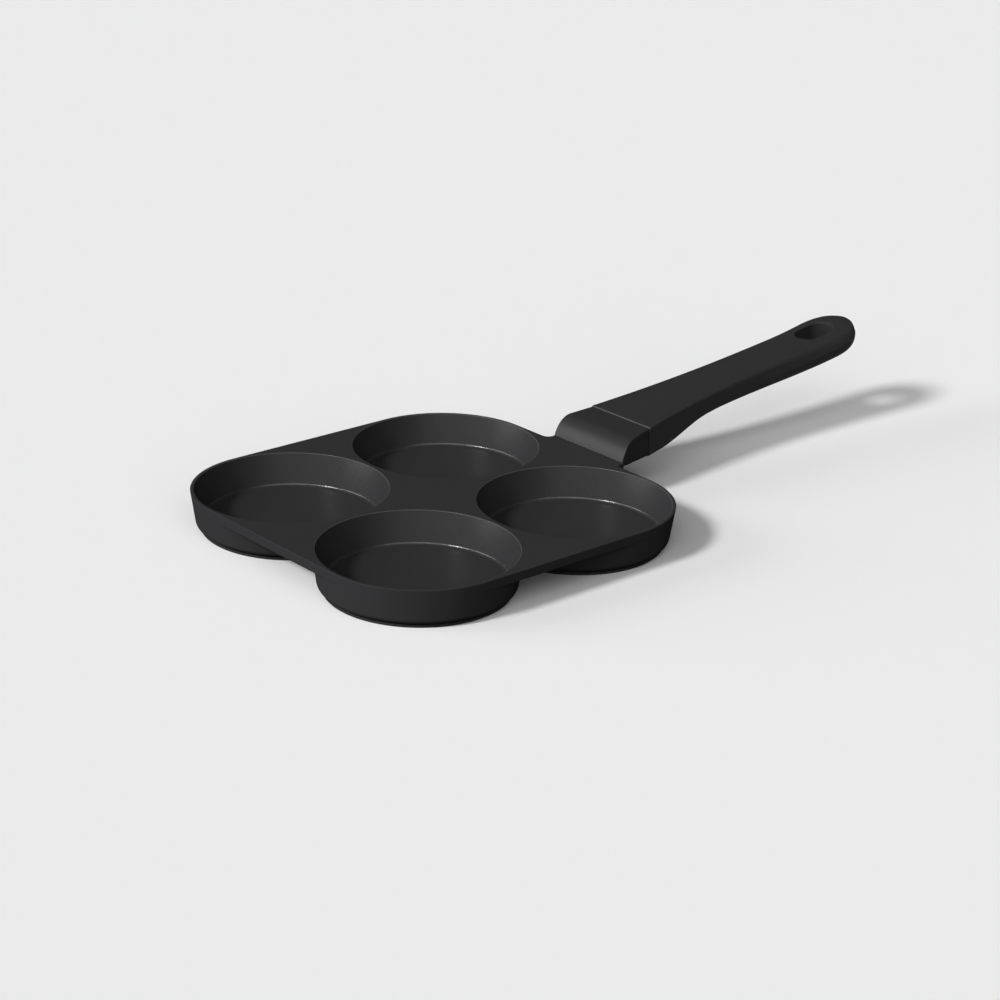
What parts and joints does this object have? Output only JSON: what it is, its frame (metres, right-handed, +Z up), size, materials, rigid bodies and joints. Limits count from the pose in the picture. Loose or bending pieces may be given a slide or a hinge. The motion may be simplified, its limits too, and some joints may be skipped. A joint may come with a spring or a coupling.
{
  "type": "multi-cup frying pan with a fixed handle",
  "caption": "Square non-stick cast frying pan with shallow round cups, coated metal ferrule and moulded handle with a hanging hole.",
  "frame": {"origin": "on the hob surface under the centre of the whole pan's box, handle included", "axes": "+X from the cups along the handle to its tip, +Z up out of the cups, +Y across the pan"},
  "size_m": [0.4257, 0.213, 0.0607],
  "materials": {
    "nonstick_coating": "cast aluminium under a matt charcoal non-stick coating, fine even grain",
    "ferrule_coating": "die-cast aluminium under a satin charcoal coating",
    "induction_steel": "magnetic stainless steel with a circular brushed grain",
    "grip_moulding": "heat-proof phenolic moulding, matt soft-touch, very fine texture",
    "zinc_plated_steel": "bright zinc plate",
    "insert_brass": "plain turned brass"
  },
  "bodies": {
    "root": {"pan_casting": "nonstick_coating", "induction_plate_front": "induction_steel", "induction_plate_left": "induction_steel", "induction_plate_right": "induction_steel", "induction_plate_back": "induction_steel", "handle_ferrule": "ferrule_coating", "handle_grip": "grip_moulding", "handle_screw_left": "zinc_plated_steel", "handle_screw_right": "zinc_plated_steel", "lock_washer_left": "zinc_plated_steel", "lock_washer_right": "zinc_plated_steel", "plain_washer_left": "zinc_plated_steel", "plain_washer_right": "zinc_plated_steel", "threaded_insert_left": "insert_brass", "threaded_insert_right": "insert_brass"}
  },
  "joints": []
}
